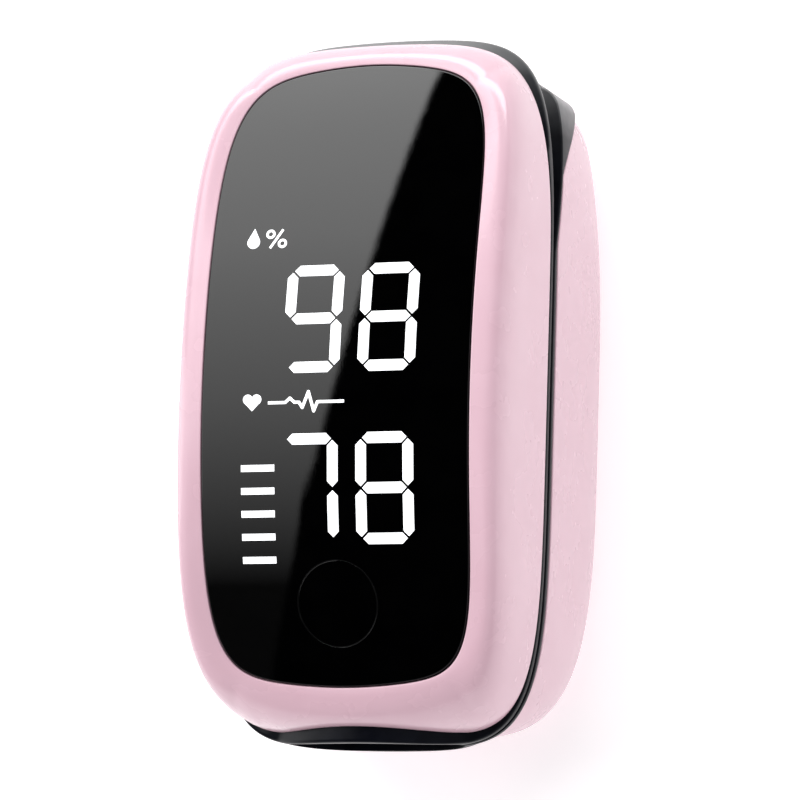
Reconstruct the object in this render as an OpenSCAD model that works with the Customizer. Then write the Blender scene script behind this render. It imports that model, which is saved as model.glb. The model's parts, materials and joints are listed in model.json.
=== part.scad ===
// Fingertip pulse oximeter: two hinged shells that clamp a fingertip, display side up.
// X is the width, +Y points to the squeezed rear end, -Y to the finger opening, +Z up.
// The origin is under the middle of the body, on the surface it rests on.

/* [Body] */
// Half of the width at the parting plane
half_w = 14.3; // [14.2:0.1:14.6]
// Height of the parting plane above the table
part_z = 16; // [15.8:0.1:16.5]
// Middle of the plan outline along Y
mid_y = -0.5; // [-1:0.1:0]
// Length of the coloured shells behind the middle
shell_rear = 29.4; // [29:0.1:30]
// Length of the coloured shells in front of the middle
shell_front = 27.6; // [27:0.1:28.5]
// Corner exponent of the plan at the rear end
corner_rear = 5.4; // [4.8:0.1:5.4]
// Corner exponent of the plan at the front end
corner_front = 5.2; // [5:0.1:5.4]
// How far the rear corners sweep forward
bow_rear = 1.1; // [0.8:0.1:1.4]
// Wall of the two coloured shells
wall = 1.3; // [1.2:0.05:1.4]

/* [Display face] */
// Half of the width of the black window
window_w = 11.6; // [11.4:0.1:11.8]
// Half of the length of the black window
window_l = 25.9; // [25.7:0.1:26]
// Middle of the window along Y
window_y = 0.7; // [0.6:0.1:0.9]
// Thickness of the window
window_t = 1.2; // [1:0.05:1.3]
// Height of the crown of the window above the parting plane
crown_z = 12.4; // [12.3:0.05:12.6]
// Where the crown lies along Y
crown_y = -0.9; // [-1.2:0.1:-0.6]
// Radius of the window's curve along its length
crown_r = 67; // [64:1:72]
// Squareness of the upper shell's shoulder along its sides
shoulder_side = 6.4; // [5.5:0.1:7]
// Squareness of the shoulder at its two ends
shoulder_end = 2; // [1.9:0.1:2.4]

/* [Lower shell] */
// Half of the width of the flat underside
base_w = 12.9; // [12.7:0.1:13]
// Half of the length of the flat underside
base_l = 22; // [21.5:0.1:22.5]
// Roundness of the lower shell's belly
belly_p = 2.2; // [2.1:0.05:2.3]
// Thickness of the battery door
door_t = 1.15; // [1:0.05:1.3]

/* [Clamp] */
// Position of the hinge axis along Y
hinge_y = 11; // [10.5:0.1:11.5]
// Angle of the squeeze gap behind the hinge
gap_angle = 15; // [14.5:0.5:15]
// Radius of the steel hinge pin
pin_r = 1; // [0.9:0.05:1]
// Half of the width of the finger channel in the frames
channel_w = 7.6; // [7.4:0.1:7.8]
// Depth of the finger channel in the upper frame
channel_up = 4.2; // [4:0.1:4.4]
// Depth of the finger channel in the lower frame
channel_down = 3.3; // [3.1:0.1:3.4]
// Thickness of the silicone pads
pad_t = 0.8; // [0.6:0.1:1]

/* [Batteries] */
// Radius of an AAA cell
cell_r = 5.25; // [5.25]
// Length of an AAA cell with its terminal
cell_l = 44.5; // [44.5]
// Where the cells start, at their flat end
cell_y = -21; // [-21.2:0.1:-20.8]

/* [Hidden] */

pink = [0.9, 0.72, 0.78];
dark = [0.06, 0.07, 0.1];
steel = [0.75, 0.76, 0.78];
gold = [0.83, 0.68, 0.35];

ring_n = 88;              // points round a plan outline
half_n = ring_n / 2;      // outline steps from the front tip to the rear tip
loft_n = 10;              // steps up a moulded wall
corner_crowd = 0.5;       // how strongly outline points gather at the corners

frame_rear = 30.5;       // the dark frames stand out behind the coloured shells
frame_front = 28.9;       // and in front of them, as the lip of the finger opening
frame_corner = 5.2;         // corner exponent of the frames' lip
bow_front = -1.9;         // the shells' front edge is hollow by this much, as bow_rear
rear_cut = 1.15;          // the lower half is shorter than the upper one at its rear end
half_gap = 0.15;          // each frame stops this far from the parting plane
rim_up = 1;               // height of the upper shell's edge
rim_down = 0.95;          // depth of the lower shell's edge
arch_w = 8.5;             // half width of the arch over the finger opening
arch_up = 4.4;            // rise of the upper shell's edge over the opening
arch_down = 3.4;          // dip of the lower shell's edge under it
seam = 0.05;              // gap between a shell's edge and its frame
lug_r = 2.5;              // hinge lug radius
bay = 3.7;                // half length of the bay round the hinge
coil_r = 2.6;             // mean radius of the clamp spring's coil
wire_r = 0.45;            // radius of the spring wire
base_z = -part_z;         // height of the table, from the parting plane
door_z = base_z + door_t; // top of the battery door, from the parting plane
floor_z = door_z + 0.1;   // underside of the lower shell
floor_t = 1.2;            // thickness of the lower shell's floor
cell_z = floor_z + cell_r + 0.05; // height of the cells' axes
shoulder_d = 3;           // depth of the frames' bodies beside the channel
channel_end = 6.2;        // inner end of the finger channel
button_y = -18.6;         // middle of the power button
button_r = 3.4;           // radius of the power button
board_z = 6.7;            // underside of the main board
board_t = 1;              // its thickness
sensor_y = -9;            // where light crosses the finger
digit_w = 4.05;           // width of a lit digit between segment middles
digit_h = 8.05;           // height of a lit digit between segment middles
segment_w = 0.9;          // width of one lit segment
segment_t = 0.06;         // thickness of the lit marks

// ---- curves -------------------------------------------------------------------------------

// Angle of outline step k, counted from the front tip, with steps crowded at the corners
function plan_angle(k) =
    let (q = k / (ring_n / 4), f = q - floor(q))
    -90 + 90 * (floor(q) + f + corner_crowd / (2 * PI) * sin(360 * f));

// A point on a squarish outline: half width a, lengths and corner exponents front and rear
function plan_point(k, a, rear, front, n_rear, n_front, bow_r, bow_f, y0) =
    let (t = plan_angle(k), c = cos(t), s = sin(t))
    let (n = s >= 0 ? n_rear : n_front, l = s >= 0 ? rear : front, b = s >= 0 ? bow_r : bow_f)
    let (r = pow(pow(abs(c), n) + pow(abs(s), n), -1 / n))
    [a * r * c, y0 + l * r * s - b * sign(s) * pow(r * c * s, 2)];

function shell_point(k, inset) = plan_point(k, half_w - inset, shell_rear - inset,
    shell_front - inset, corner_rear, corner_front, bow_rear, bow_front, mid_y);
function frame_point(k) = plan_point(k, half_w - 0.03, frame_rear, frame_front, corner_rear,
    frame_corner, bow_rear, 0, mid_y);
// The lower half's outlines, shorter at the rear between its corners
function rear_trim(k) = let (p = frame_point(k))
    p[1] < 20 ? 0 : rear_cut * min(1, max(0, (12.9 - abs(p[0])) / 1.6));
function low_shell_point(k, inset) = shell_point(k, inset) - [0, rear_trim(k)];
function low_frame_point(k) = frame_point(k) - [0, rear_trim(k)];
function window_point(k, inset) = plan_point(k, window_w - inset, window_l - inset,
    window_l - inset, 5.9, 6.5, 2.6, 1.8, window_y);
function base_point(k) = plan_point(k, base_w, base_l, base_l, 4, 4, 0, 0, mid_y);
function bay_point(k) = plan_point(k, 10.8, 22.5, 22.5, 14, 14, 0, 0, cell_y + cell_l / 2);

// Height of the window's top face
function crown(y) = crown_z - pow(y - crown_y, 2) / (2 * crown_r);

// Edge of the shells round the finger opening: a low arch at the front end only
function arch(p, rise) = p[1] < 0 ? rise * max(0, 1 - pow(p[0] / arch_w, 2))
    * min(1, max(0, (-p[1] - 20) / 5)) : 0;
// The upper edge sweeps up a little behind the hinge
function rim_top(p) = rim_up + arch(p, arch_up) + 0.009 * pow(max(0, p[1] - 13), 2);
// The lower edge sweeps down behind the hinge, baring the lower frame
function sweep_down(y) = let (t = min(1, max(0, (y - 14.1) / 15))) 10 * t * t * (2 - t * t);
function rim_low(p) = max(rim_down + arch(p, arch_down) + sweep_down(p[1]), meet_low(p[1]) + 0.45);
// Depth of the lower frame's meeting face: flat, then falling away behind the hinge
function meet_low(y) = half_gap + max(0, y - hinge_y) * tan(gap_angle);
// How far a point lies outside the shells' plan outline at the rear end
function beyond(p) =
    let (x = abs(p[0]) / half_w, y = (p[1] - mid_y) / shell_rear)
    let (v = y + bow_rear / shell_rear * pow(x * y, 2) / max(0.01, x * x + y * y))
    p[1] < 20 ? 0 : max(0, pow(pow(x, corner_rear) + pow(v, corner_rear), 1 / corner_rear) - 1)
        * shell_rear;
// Top of the upper frame's band, which flares out behind the shell
function band_top(p) = max(half_gap + 0.6, rim_top(p) - seam - 3.5 * beyond(p));
// Squareness of the shoulder beside a point of the outline
function shoulder(p) = shoulder_side
    + (shoulder_end - shoulder_side) * pow(min(1, abs(p[1] - mid_y) / 27), 4);

// One ring of a moulded wall between an inner ring p and an outer ring o; f runs 0 to 90
function wall_point(p, o, zp, zo, f, e) =
    let (s = pow(max(0, sin(f)), 2 / e), c = pow(max(0, cos(f)), 2 / e))
    [p[0] + (o[0] - p[0]) * s, p[1] + (o[1] - p[1]) * s, zo + (zp - zo) * c];

// Rings joined into a solid, either capped at both ends or closed on itself.
// A strip cap suits a ring whose second half runs back along its first half: strip is 1,
// or -1 for rings turned upside down, so that no triangle lies along a straight edge.
module skin(rings, closed = false, strip = 0) {
    k = len(rings);
    n = len(rings[0]);
    last = (k - 1) * n;
    sides = [for (i = [0:closed ? k - 1 : k - 2], j = [0:n - 1])
        let (a = i * n + j, b = i * n + (j + 1) % n)
        let (c = (i + 1) % k * n + (j + 1) % n, d = (i + 1) % k * n + j)
        each [[a, c, b], [a, d, c]]];
    strips = [for (j = [0:n / 2 - 2]) let (a = j, b = j + 1, c = n - 2 - j, d = n - 1 - j)
        let (first = (j < n / 4) == (strip > 0))
        let (pair = first ? [[a, b, d], [b, c, d]] : [[a, b, c], [a, c, d]])
        each [for (t = pair) each [t, [last + t[0], last + t[2], last + t[1]]]]];
    caps = closed ? [] : strip != 0 ? strips : [[for (j = [0:n - 1]) j], [for (j = [n - 1:-1:0]) last + j]];
    polyhedron([for (r = rings) each r], concat(caps, sides), convexity = 8);
}

// Rings turned upside down, from depths below the parting plane to heights
function below(rings) = [for (r = rings) [for (i = [len(r) - 1:-1:0]) [r[i][0], r[i][1], -r[i][2]]]];

// A round wire along a path of points, with rings square to the path
module wire(path, r, sides = 8) {
    last = len(path) - 1;
    rings = [for (i = [0:last])
        let (t = path[min(i + 1, last)] - path[max(i - 1, 0)], u = t / norm(t))
        let (a = cross(u, abs(u[2]) < 0.8 ? [0, 0, 1] : [0, 1, 0]), v = a / norm(a), w = cross(u, v))
        [for (j = [0:sides - 1]) path[i] + r * (cos(360 * j / sides) * v + sin(360 * j / sides) * w)]];
    skin(rings);
}

// A rod along X
module rod(r, x0, x1, y = 0, z = 0) {
    translate([x0, y, z]) rotate([0, 90, 0]) cylinder(r = r, h = x1 - x0, $fn = 48);
}

module box(x0, x1, y0, y1, z0, z1) {
    translate([x0, y0, z0]) cube([x1 - x0, y1 - y0, z1 - z0]);
}

// Both sides of the body
module pair() {
    for (side = [0, 1]) mirror([side, 0, 0]) children();
}

// ---- shells -------------------------------------------------------------------------------

screw_upper = [[11.1, 17.6], [11.1, -17.6]];
screw_lower = [10.1, -22.7];

module upper_shell() {
    steps = [for (k = [0:ring_n - 1]) k];
    outer = [for (j = [0:loft_n]) [for (k = steps)
        let (p = window_point(k, 0), o = shell_point(k, 0))
        wall_point(p, o, crown(p[1]), rim_top(o), 90 * (1 - j / loft_n), shoulder(o))]];
    rebate = [for (d = [[0, 1.25], [1.1, 1.25], [1.1, 2.1]]) [for (k = steps)
        let (p = window_point(k, d[0])) [p[0], p[1], crown(p[1]) - d[1]]]];
    inner = [for (j = [0:6]) [for (k = steps)
        let (p = window_point(k, -0.2), o = shell_point(k, wall))
        wall_point(p, o, crown(p[1]) - 2.1, rim_top(o), 15 * j, shoulder(o))]];
    color(pink) translate([0, 0, part_z]) difference() {
        union() {
            skin(concat(outer, rebate, inner), closed = true);
            pair() for (s = screw_upper) translate([s[0], s[1], shoulder_d + 0.2])
                cylinder(r = 1.6, h = 4.9, $fn = 32);
        }
        pair() for (s = screw_upper) translate([s[0], s[1], shoulder_d])
            cylinder(r = 0.8, h = 4.6, $fn = 32);
    }
}

// Ring of the lower wall at step j of n, from its cut at height z up to the edge
function belly_ring(j, n, z, inset) = [for (k = [0:ring_n - 1])
    let (p0 = base_point(k), o = low_shell_point(k, inset))
    let (shrink = inset == 0 ? 1 : 0.97, p = [p0[0] * shrink, p0[1] * shrink], zo = -rim_low(o))
    let (cut = acos(pow(min(1, (zo - z) / (zo - base_z - inset)), belly_p / 2)))
    wall_point(p, o, base_z + inset, zo, cut + (90 - cut) * j / n, belly_p)];

module lower_shell() {
    outer = [for (j = [0:loft_n]) belly_ring(j, loft_n, floor_z, 0)];
    inner = [for (j = [6:-1:0]) belly_ring(j, 6, floor_z + floor_t, wall)];
    bay = [for (z = [floor_z + floor_t, floor_z]) [for (k = [0:ring_n - 1])
        let (p = bay_point(k)) [p[0], p[1], z]]];
    color(pink) translate([0, 0, part_z]) difference() {
        union() {
            skin(concat(outer, inner, bay), closed = true);
            pair() lower_boss();
        }
        pair() translate([screw_lower[0], screw_lower[1], -8.9]) cylinder(r = 0.8, h = 8, $fn = 32);
        // notches that let the door's toes in and out
        pair() for (y = [-9.8, 8.2]) box(10, 12.2, y, y + 4.4, floor_z - 1, floor_z + floor_t + 1);
    }
}

// Post inside the lower shell that takes a screw
module lower_boss() {
    translate([screw_lower[0], screw_lower[1], -10.6]) cylinder(r = 1.5, h = 7.6, $fn = 32);
}

module battery_door() {
    belly = [for (f = [0, 0.3, 0.6, 0.85, 1]) [for (k = [0:ring_n - 1])
        let (p = base_point(k), o = low_shell_point(k, 0), zo = -rim_low(o))
        let (cut = acos(pow((zo - door_z) / (zo - base_z), belly_p / 2)))
        wall_point(p, o, base_z, zo, cut * f, belly_p)]];
    color(pink) translate([0, 0, part_z]) union() {
        skin(belly);
        // L-shaped toes that hook over the lower shell's floor
        pair() for (y = [-15.6, 2.4]) {
            box(9.5, 10.5, y, y + 4, door_z - 0.4, floor_z + floor_t + 0.7);
            box(9.5, 11.9, y, y + 4, floor_z + floor_t + 0.15, floor_z + floor_t + 0.75);
        }
    }
}

// ---- display ------------------------------------------------------------------------------

// Rows of a curved plate with the window's outline; lift is the height over the window's face
module window_plate(inset, top, bottom) {
    edge = 0.25;
    rows = [for (k = [1:half_n - 1])
        let (p = window_point(k, inset), a = p[0], z = crown(p[1]), e = min(edge, a / 3))
        [[-a, p[1], z + bottom], [-a, p[1], z + top - e], [-a + e, p[1], z + top],
            [a - e, p[1], z + top], [a, p[1], z + top - e], [a, p[1], z + bottom]]];
    skin(rows);
}

module display_window() {
    color("black") translate([0, 0, part_z]) difference() {
        window_plate(0.1, 0, -window_t);
        translate([0, button_y, 0]) cylinder(r = button_r + 0.1, h = 20, $fn = 64);
    }
}

module power_button() {
    slope = asin((crown_y - button_y) / crown_r);
    color([0.04, 0.04, 0.05]) translate([0, button_y, part_z]) {
        difference() {
            translate([0, 0, board_z + board_t + 0.9]) cylinder(r = button_r, h = 4, $fn = 64);
            translate([0, 0, crown(button_y) - 0.02]) rotate([slope, 0, 0])
                translate([-8, -8, 0]) cube([16, 16, 8]);
        }
        translate([0, 0, board_z + board_t + 0.65]) cylinder(r = 1, h = 0.5, $fn = 32);
    }
}

// A small mark lying on the window's curved face at x, y
module on_glass(x, y) {
    translate([x, y, part_z + crown(y) + 0.01]) rotate([asin((crown_y - y) / crown_r), 0, 0])
        linear_extrude(segment_t) children();
}

// One six-sided lit segment of the given length, along X
module segment_shape(l) {
    h = segment_w / 2;
    polygon([[-l / 2, 0], [-l / 2 + h, h], [l / 2 - h, h], [l / 2, 0], [l / 2 - h, -h], [-l / 2 + h, -h]]);
}

// A seven-segment digit with its lower left corner at x, y; on lists its lit segments
module digit(x, y, on) {
    half = digit_h / 2;
    for (i = [0:2]) if (on[i]) on_glass(x + digit_w / 2, y + i * half) segment_shape(digit_w - 0.25);
    for (i = [0:3]) if (on[3 + i])
        on_glass(x + (i % 2) * digit_w, y + half * (0.5 + floor(i / 2)))
            rotate(90) segment_shape(half - 0.25);
}

digit_x = [-4.1, 2.4];    // left edges of the two digit columns
digit_y = [0.4, -13.5];   // lower edges of the two rows

module lit_digits() {
    nine = [true, true, true, false, true, true, true];
    eight = [true, true, true, true, true, true, true];
    seven = [false, false, true, false, true, false, true];
    color("white") {
        digit(digit_x[0], digit_y[0], nine);
        digit(digit_x[1], digit_y[0], eight);
        digit(digit_x[0], digit_y[1], seven);
        digit(digit_x[1], digit_y[1], eight);
    }
}

module pulse_bars() {
    color("white") for (i = [0:4]) on_glass(-6.55, -15.1 + 1.84 * i) square([2.9, 0.55], center = true);
}

module heart_mark() {
    color("white") on_glass(-7.1, -2.35) {
        for (side = [-1, 1]) translate([side * 0.38, 0.2]) circle(r = 0.42, $fn = 32);
        polygon([[-0.76, 0.02], [0, -0.75], [0.76, 0.02], [0.38, 0.5], [0, 0.35], [-0.38, 0.5]]);
    }
}

// A line of the given width through points, with round joints
module stroke(points, w) {
    for (i = [0:len(points) - 2]) {
        d = points[i + 1] - points[i];
        translate(points[i]) rotate(atan2(d[1], d[0])) translate([0, -w / 2]) square([norm(d), w]);
        if (i > 0) translate(points[i]) circle(r = w / 2, $fn = 24);
    }
}

// Small signs beside the numbers: a drop and a per cent sign, and a pulse trace
module unit_marks() {
    trace = [[-3.3, 0], [-1.8, 0], [-1.4, 0.35], [-1, 0], [-0.6, 0], [-0.3, -0.45], [0.2, 0.85],
        [0.7, -0.75], [1, 0], [3.3, 0]];
    color("white") {
        on_glass(-7.9, 11.3) {
            translate([0, -0.25]) circle(r = 0.55, $fn = 32);
            polygon([[-0.5, -0.02], [0, 0.95], [0.5, -0.02]]);
        }
        on_glass(-5.9, 11.3) {
            for (side = [-1, 1]) translate([side * 0.55, -side * 0.42]) difference() {
                circle(r = 0.4, $fn = 32);
                circle(r = 0.2, $fn = 32);
            }
            stroke([[-0.5, -0.8], [0.5, 0.8]], 0.2);
        }
        on_glass(-2.4, -2.45) stroke(trace, 0.24);
    }
}

module led_display() {
    color([0.12, 0.12, 0.13]) translate([0, 0, part_z])
        box(-9.4, 9.4, -15, 13.2, board_z + board_t + 0.02, board_z + board_t + 1.6);
}

module main_board() {
    color([0.05, 0.35, 0.2]) translate([0, 0, part_z + board_z]) linear_extrude(board_t) difference() {
        union() {
            translate([-9.4, -18]) square([18.8, 35.1]);
            translate([-4, -21.8]) square([8, 4]);
        }
        for (x = [-8, 8]) translate([x, 15.4]) circle(r = 0.6, $fn = 32);
    }
}

module controller_chip() {
    color("dimgray") translate([0, 0, part_z]) box(-3, 3, 9.2, 15.2, board_z - 1.05, board_z - 0.02);
}

module board_parts() {
    color([0.6, 0.5, 0.35]) translate([0, 0, part_z]) {
        for (y = [8.6, 10.4, 12.2, 14]) pair() box(4.4, 6, y, y + 0.9, board_z - 0.65, board_z - 0.02);
        box(6.9, 8.7, 9, 12.4, board_z - 1.2, board_z - 0.02);
    }
}

module dome_switch() {
    color(steel) translate([0, button_y, part_z + board_z + board_t + 0.02]) {
        cylinder(r = 2.2, h = 0.15, $fn = 48);
        cylinder(r = 1.4, h = 0.3, $fn = 48);
    }
}

// ---- frames and pads ----------------------------------------------------------------------

// How full the finger channel is at y: 1 in front, rounding off to 0 at its inner end
function channel_fill(y) = y < -8 ? 1
    : pow(max(0, 1 - pow((y + 8) / (channel_end + 8), 3)), 1 / 3);
// Depth of a finger channel at x, y
function channel_d(x, y, w, d) =
    let (f = channel_fill(y)) f <= 0 ? 0 : d * f * sqrt(max(0, 1 - pow(x / (w * (0.4 + 0.6 * f)), 2)));

// Half width inside the shell's wall at y, and 0 beyond its ends, with the rear end cut short
function inside_half(y, cut) =
    let (l = y > mid_y ? shell_rear - 2.5 - cut : shell_front - 1.1)
    let (n = y > mid_y ? corner_rear : corner_front)
    (half_w - wall - 0.35) * pow(max(0, 1 - pow(abs(y - mid_y) / l, n)), 1 / n);

bench_n = 10;             // points across a frame's body
arc_n = 20;               // points across its finger channel

// Is a frame's section one plain band? It is at the ends, and wherever the finger channel
// is wider than the shell's inside.
function is_lip(y, inside) = inside < (y < 0 ? channel_w + 1 : 3);

// A frame's cross-section at an outline point p, in depths from the parting plane.
// near is the depth of its meeting face, rim the depth of its outer band at a point,
// leg how far its side walls reach past the band, and body the depth of its middle.
function frame_section(p, inside, near, depth, rim, leg, body) =
    let (a = p[0], y = p[1], lip = is_lip(y, inside))
    let (b = lip ? 0.9 * a : inside, c = lip ? 0.8 * a : b - 0.7)
    let (w = min(channel_w * (0.4 + 0.6 * channel_fill(y)), 0.95 * a))
    let (e0 = max(near, channel_d(a, y, channel_w, depth)))
    let (band = rim[0], foot = lip ? band * 0.99 : rim[0] + leg, mid = rim[1])
    concat(
        [[-a, y, e0], [-a, y, band], [-b, y, band], [-b * 0.999, y, foot], [-c, y, foot]],
        [for (i = [0:bench_n]) let (x = c * 0.995 * (2 * i / bench_n - 1))
            [x, y, lip ? mid[i] : body[i]]],
        [[c, y, foot], [b * 0.999, y, foot], [b, y, band], [a, y, band], [a, y, e0]],
        [for (i = [0:arc_n]) let (x = w * cos(180 * i / arc_n))
            [x, y, max(near, channel_d(x, y, channel_w, depth))]]
    );

module upper_frame_body() {
    rows = [for (k = [1:half_n - 1])
        let (p = frame_point(k), y = p[1], inside = inside_half(y, 0))
        let (c = 0.995 * (is_lip(y, inside) ? 0.8 * p[0] : inside - 0.7))
        let (xs = [for (i = [0:bench_n]) c * (2 * i / bench_n - 1)])
        frame_section(p, inside, half_gap, channel_up,
            [band_top(p), [for (x = xs) band_top([x, y])]],
            max(0.3, shoulder_d - band_top(p)),
            [for (x = xs) max(shoulder_d, channel_d(x, y, channel_w + 1, channel_up + 1))])];
    skin(rows, strip = 1);
}

// Hinge lugs on both sides, with webs that reach from height z0 to z1.
// The bore runs outwards to bore_end.
module lugs(x0, x1, z0, z1, bore, bore_end) {
    pair() difference() {
        union() {
            rod(lug_r, x0, x1, hinge_y);
            box(x0, x1, hinge_y - lug_r + 0.1, hinge_y + lug_r - 0.1, z0, z1);
        }
        rod(bore, x0 - 1, bore_end, hinge_y);
    }
}

module upper_frame() {
    color(dark) translate([0, 0, part_z]) difference() {
        union() {
            difference() {
                upper_frame_body();
                // bay for the lugs, open upwards over the spring
                box(-12.75, 12.75, hinge_y - bay, hinge_y + bay, -1, 2.6);
                box(-3.9, 3.9, hinge_y - bay + 0.2, hinge_y + bay - 0.2, -1, 3.4);
                // slots for the spring's high leg and for the ribbon
                box(2.5, 3.9, hinge_y, hinge_y + 9.5, -1, 2.75);
                box(4.2, 6.6, hinge_y - bay, 9, 1, 4);
            }
            lugs(7.1, 9.5, 0.7, 2.8, pin_r + 0.05, 10.5);
        }
        translate([0, sensor_y, 0]) cylinder(r = 2.3, h = 9, $fn = 48);
        pair() for (s = screw_upper) translate([s[0], s[1], -1]) {
            cylinder(r = 1.7, h = 2.3, $fn = 32);
            cylinder(r = 0.85, h = 6, $fn = 32);
        }
    }
}

module lower_frame_body() {
    rows = [for (k = [1:half_n - 1])
        let (p = low_frame_point(k), y = p[1], inside = inside_half(y, rear_cut))
        let (c = 0.995 * (is_lip(y, inside) ? 0.8 * p[0] : inside - 0.7))
        let (xs = [for (i = [0:bench_n]) c * (2 * i / bench_n - 1)])
        let (band = max(rim_low(p) - seam, meet_low(y) + 0.3), deep = y > 5 ? 4.05 : 2.9)
        frame_section(p, inside, meet_low(y), channel_down,
            [band, [for (x = xs) y > 0 ? band : rim_low([x, y]) - seam]],
            y > 0 ? 1.2 : 1.6,
            [for (x = xs) max(deep, channel_d(x, y, channel_w + 1, channel_down + 0.85))])];
    skin(below(rows), strip = -1);
}

module lower_frame() {
    color(dark) translate([0, 0, part_z]) difference() {
        union() {
            difference() {
                lower_frame_body();
                // bay for the lugs and the spring
                box(-12.75, 12.75, hinge_y - bay, hinge_y + bay, -3.3, 1);
                // slots for the spring's low leg and for the ribbon
                box(-3.9, -2.4, hinge_y, hinge_y + 9.5, -3.5, 1);
                box(4.2, 6.6, hinge_y - bay, 9, -5, -1);
            }
            lugs(9.95, 12.5, -3.6, -0.7, pin_r, 12.4);
        }
        translate([0, sensor_y, -9]) cylinder(r = 2.3, h = 9, $fn = 48);
        pair() translate([screw_lower[0], screw_lower[1], -8]) {
            cylinder(r = 0.85, h = 9, $fn = 32);
            translate([0, 0, 6.7]) cylinder(r = 1.7, h = 2.3, $fn = 32);
        }
    }
}

// Silicone lining of a finger channel, as depths from the parting plane
module pad_body(depth, downward = false) {
    fit = 0.06;
    ys = [for (k = [1:half_n - 1]) let (y = frame_point(k)[1])
        if (y > -29 && y < channel_end - 0.4) y];
    rows = [for (y = ys)
        let (f = max(0.1, channel_fill(y + 0.05)), g = max(0.05, channel_fill(y + pad_t + 0.3)))
        let (wo = (channel_w - fit) * (0.4 + 0.6 * f), wi = (channel_w - pad_t) * (0.4 + 0.6 * g))
        concat(
            [for (j = [0:arc_n]) let (a = 180 - 180 * j / arc_n)
                [wo * cos(a), y, max(half_gap, depth * f * sin(a) - fit)]],
            [for (j = [0:arc_n]) let (a = 180 * j / arc_n)
                [(wi - 0.05) * cos(a), y, half_gap + (depth - pad_t - half_gap) * g * sin(a) * 0.98]]
        )];
    skin(downward ? below(rows) : rows, strip = downward ? -1 : 1);
}

module upper_pad() {
    color([0.2, 0.2, 0.22]) translate([0, 0, part_z]) difference() {
        pad_body(channel_up);
        translate([0, sensor_y, 0]) cylinder(r = 2.3, h = 9, $fn = 48);
    }
}

module lower_pad() {
    color([0.2, 0.2, 0.22]) translate([0, 0, part_z]) difference() {
        pad_body(channel_down, downward = true);
        translate([0, sensor_y, -9]) cylinder(r = 2.3, h = 9, $fn = 48);
    }
}

// ---- optics -------------------------------------------------------------------------------

module emitter_lens() {
    color([0.9, 0.9, 0.95, 0.5]) translate([0, sensor_y, part_z + channel_up - pad_t])
        cylinder(r = 2.2, h = 1.4, $fn = 48);
}

module light_emitter() {
    color("ivory") translate([0, sensor_y, part_z])
        box(-1.5, 1.5, -1.5, 1.5, channel_up + 0.7, board_z - 0.02);
}

module sensor_lens() {
    color([0.9, 0.9, 0.95, 0.5]) translate([0, sensor_y, part_z - channel_down + pad_t - 1.1])
        cylinder(r = 2.2, h = 1.1, $fn = 48);
}

module photodiode() {
    color([0.1, 0.1, 0.15]) translate([0, sensor_y, part_z])
        box(-1.5, 1.5, -1.5, 1.5, -4.35, -channel_down - 0.35);
}

module sensor_board() {
    color([0.05, 0.35, 0.2]) translate([0, 0, part_z]) box(-1.8, 1.8, -13.5, -4.5, -4.97, -4.37);
}

// ---- hinge and spring ---------------------------------------------------------------------

module hinge_pin() {
    color(steel) translate([0, 0, part_z]) rod(pin_r - 0.01, -12.4, 12.4, hinge_y);
}

// Torsion spring round the pin: its legs push the two frames' rear ends apart
module clamp_spring() {
    turns = 6;
    per_turn = 14;
    pitch = 2 * wire_r + 0.12;
    x0 = -turns * pitch / 2;
    coil = [for (i = [0:turns * per_turn]) let (a = -90 - 360 * i / per_turn)
        [x0 + pitch * i / per_turn, hinge_y + coil_r * cos(a), coil_r * sin(a)]];
    low_leg = [[x0 - 0.1, hinge_y + 8.5, -2.9], [x0 - 0.05, hinge_y + 3, -coil_r]];
    turn_back = [for (i = [1:per_turn / 2]) let (a = -90 - 360 * i / per_turn)
        [-x0 + 0.1, hinge_y + coil_r * cos(a), coil_r * sin(a)]];
    high_leg = [[-x0 + 0.15, hinge_y + 3.5, 2.2], [-x0 + 0.15, hinge_y + 8.5, 1.9]];
    color(steel) translate([0, 0, part_z]) wire(concat(low_leg, coil, turn_back, high_leg), wire_r);
}

// Ribbon that joins the main board to the sensor board past the hinge
module flex_cable() {
    path = [[8.1, 6.6], [7.75, 5.4], [7.95, 3.2], [8.3, 1], [8.3, -1], [7.9, -3.1]];
    color([0.85, 0.55, 0.15]) translate([0, 0, part_z]) {
        for (i = [0:len(path) - 2]) hull() for (p = [path[i], path[i + 1]])
            translate([4.4, p[0], p[1]]) rotate([0, 90, 0]) cylinder(r = 0.1, h = 2, $fn = 12);
    }
}

// ---- screws -------------------------------------------------------------------------------

// Self-tapping screw with its head down at the origin
module screw(l) {
    difference() {
        union() {
            cylinder(r = 1.55, h = 1, $fn = 32);
            cylinder(r = 0.75, h = l, $fn = 32);
        }
        for (a = [0, 90]) rotate(a) translate([-0.9, -0.16, -0.1]) cube([1.8, 0.32, 0.6]);
    }
}

module upper_screws() {
    color(steel) pair() for (s = screw_upper) translate([s[0], s[1], part_z + 0.28]) screw(6.8);
}

module lower_screws() {
    color(steel) pair() translate([screw_lower[0], screw_lower[1], part_z - 0.28]) mirror([0, 0, 1]) screw(8);
}

// ---- batteries ----------------------------------------------------------------------------

tray_front = -25.2;
tray_rear = 23.95;

// Carrier between the cells: two end walls on a spine
module battery_tray() {
    color([0.15, 0.15, 0.17]) translate([0, 0, part_z]) union() {
        box(-8.2, 8.2, tray_front, tray_front + 0.8, -10.4, -5.2);
        box(-7.8, 7.8, tray_rear, tray_rear + 0.45, -10.4, -5.2);
        box(-0.9, 0.9, tray_front + 0.4, tray_rear + 0.4, -6.3, -5.2);
    }
}

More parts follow.
